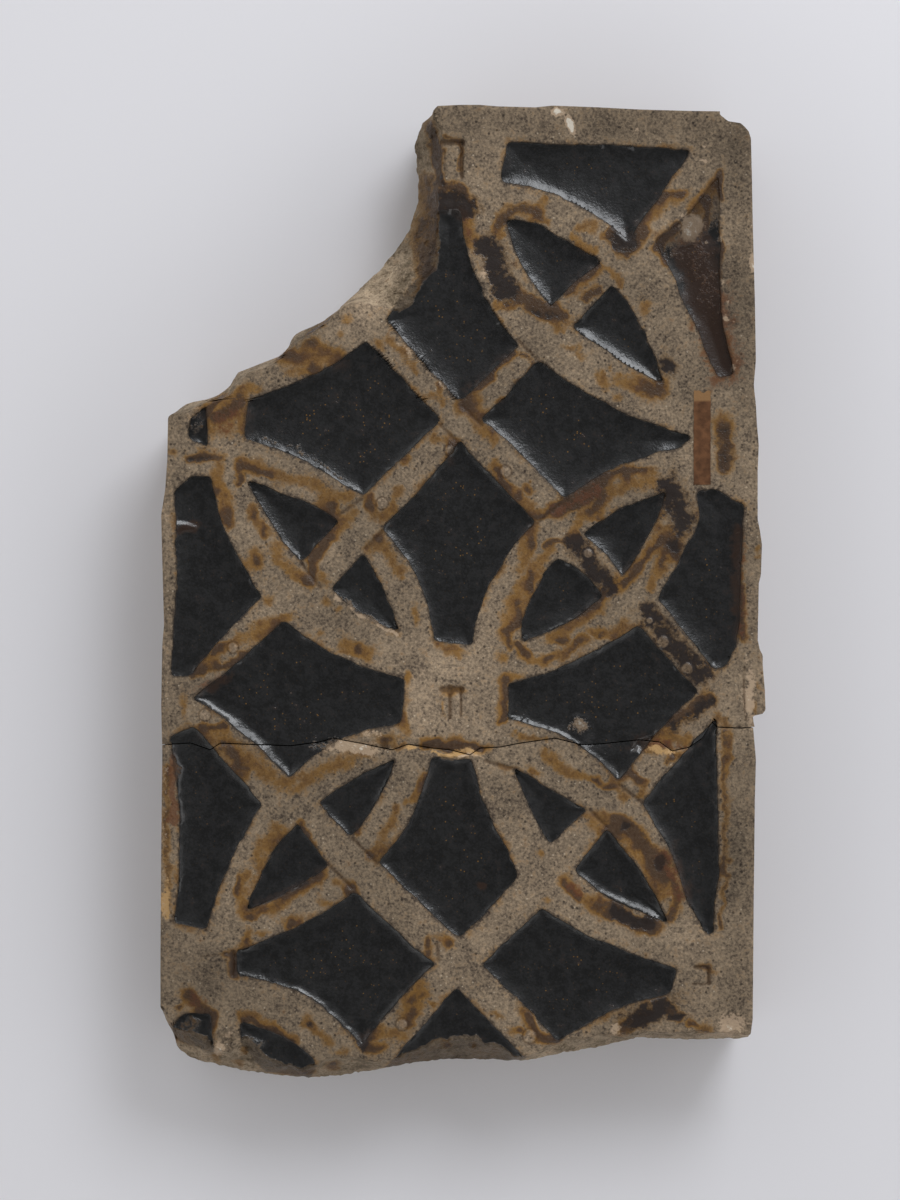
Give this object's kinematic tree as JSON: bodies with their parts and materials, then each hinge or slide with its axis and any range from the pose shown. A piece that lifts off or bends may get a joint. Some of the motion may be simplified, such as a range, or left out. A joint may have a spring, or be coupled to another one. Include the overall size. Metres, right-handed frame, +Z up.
{
  "type": "ceramic relief floor tile fragment",
  "caption": "Thick relief floor tile, broken: raised interlaced rings and rails of bare clay round sunk panels of dark glaze, cracked across and rejoined.",
  "frame": {"origin": "on the underside, below the centre of the interlace pattern", "axes": "+X across the tile, +Y along the tile towards its one sound end, +Z up out of the decorated face"},
  "size_m": [0.1698, 0.2738, 0.0382],
  "materials": {
    "glazed_earthenware": "worn buff clay on the raised bands, glossy dark glaze in the sunk panels",
    "aged_paper": "matte, browned and rubbed"
  },
  "bodies": {
    "root": {"upper_fragment": "glazed_earthenware", "lower_fragment": "glazed_earthenware", "paper_label": "aged_paper"}
  },
  "joints": []
}
